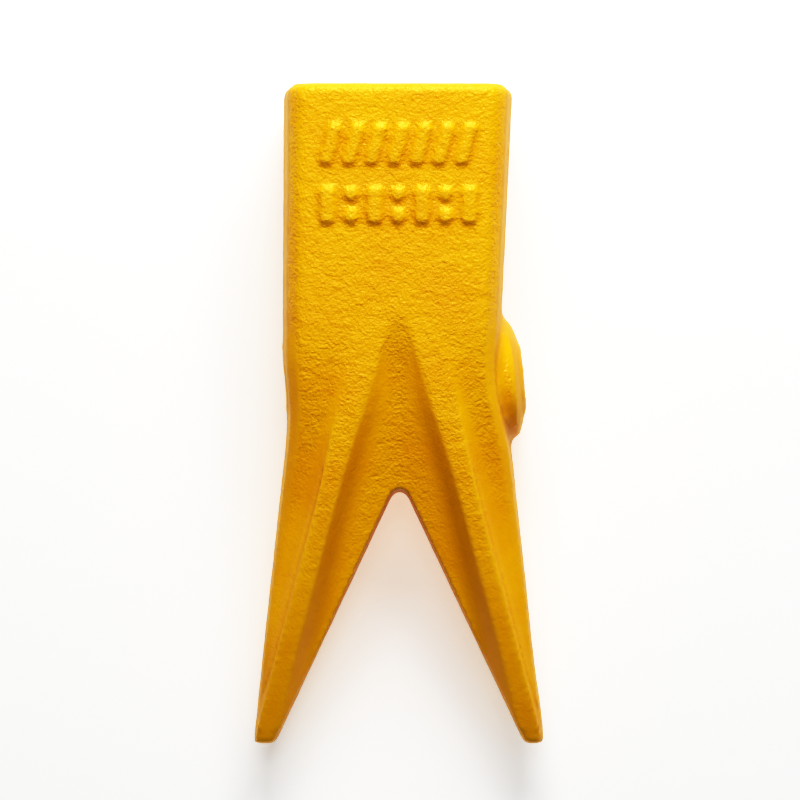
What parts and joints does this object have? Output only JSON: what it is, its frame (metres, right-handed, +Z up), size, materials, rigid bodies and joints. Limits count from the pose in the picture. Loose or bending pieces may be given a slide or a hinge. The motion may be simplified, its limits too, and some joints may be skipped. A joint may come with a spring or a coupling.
{
  "type": "excavator bucket tooth",
  "caption": "Twin-point bucket tooth tip: a ribbed steel casting with a tapered socket, held on an adapter nose by a cross pin and a C-shaped spring retainer.",
  "frame": {"origin": "on the axis of the cross pin, at the middle of the pin's length inside the socket and on the casting's parting plane", "axes": "+X along the pin axis towards the ear, +Y towards the socket mouth, +Z up, with the flat underside of the socket box level"},
  "size_m": [0.0998, 0.2271, 0.0715],
  "materials": {
    "painted_casting": "semi-gloss yellow paint over rough cast steel",
    "pin_steel": "turned and oil-quenched, dark",
    "spring_steel": "blued spring steel"
  },
  "bodies": {
    "tip": {"tip_casting": "painted_casting"},
    "retainer": {"retainer_ring": "spring_steel"},
    "pin": {"locking_pin": "pin_steel"}
  },
  "joints": [
    {"name": "pin_turn", "type": "hinge", "parent": "tip", "child": "retainer", "pos_m": [0, 0, 0], "axis": [1, 0, 0], "continuous": true},
    {"name": "pin_drive", "type": "slide", "parent": "retainer", "child": "pin", "axis": [-1, 0, 0], "range_m": [0, 0.085], "deforming": ["retainer_ring"]}
  ]
}
